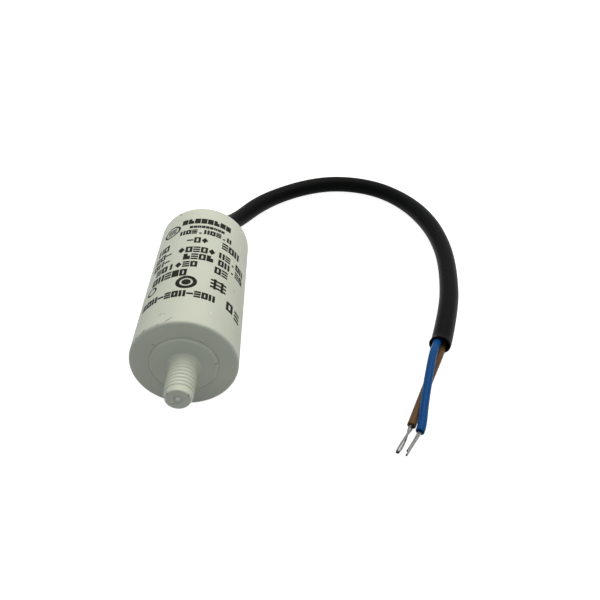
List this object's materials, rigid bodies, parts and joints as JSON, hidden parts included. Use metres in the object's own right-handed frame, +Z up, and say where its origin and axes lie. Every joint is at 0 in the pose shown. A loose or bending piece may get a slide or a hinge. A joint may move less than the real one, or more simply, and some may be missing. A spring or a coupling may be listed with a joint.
{
  "type": "motor-run film capacitor",
  "caption": "Round plastic-cased film capacitor with a threaded fixing stud on its base and a short two-core cable with stripped, tinned ends.",
  "frame": {"origin": "on the bench, below the middle of the case and its stud taken together, without the cable", "axes": "+Y along the case axis towards the cable end, the stud points to -Y, +Z up with the case lying on its side, +X towards the side on which the cable curls"},
  "size_m": [0.1069, 0.1593, 0.03],
  "materials": {
    "case_plastic": "satin moulded",
    "resin": "cast",
    "metallised_film": "glossy wound film",
    "clear_film": "glossy film",
    "core_plastic": "extruded",
    "sprayed_zinc": "rough sprayed",
    "blue_insulation": "satin extruded",
    "brown_insulation": "satin extruded",
    "tinned_copper": "tinned strands",
    "solder": "reflowed",
    "black_sheath": "satin extruded"
  },
  "bodies": {
    "root": {"case": "case_plastic", "end_lid": "case_plastic", "potting_resin": "resin", "film_winding": "metallised_film", "winding_wrap": "clear_film", "winding_core": "core_plastic", "base_end_contact": "sprayed_zinc", "cable_end_contact": "sprayed_zinc", "blue_lead": "blue_insulation", "brown_lead": "brown_insulation", "blue_lead_wire": "tinned_copper", "brown_lead_wire": "tinned_copper", "blue_solder": "solder", "brown_solder": "solder", "cable_sheath": "black_sheath", "blue_core": "blue_insulation", "brown_core": "brown_insulation", "blue_wire": "tinned_copper", "brown_wire": "tinned_copper"}
  },
  "joints": []
}
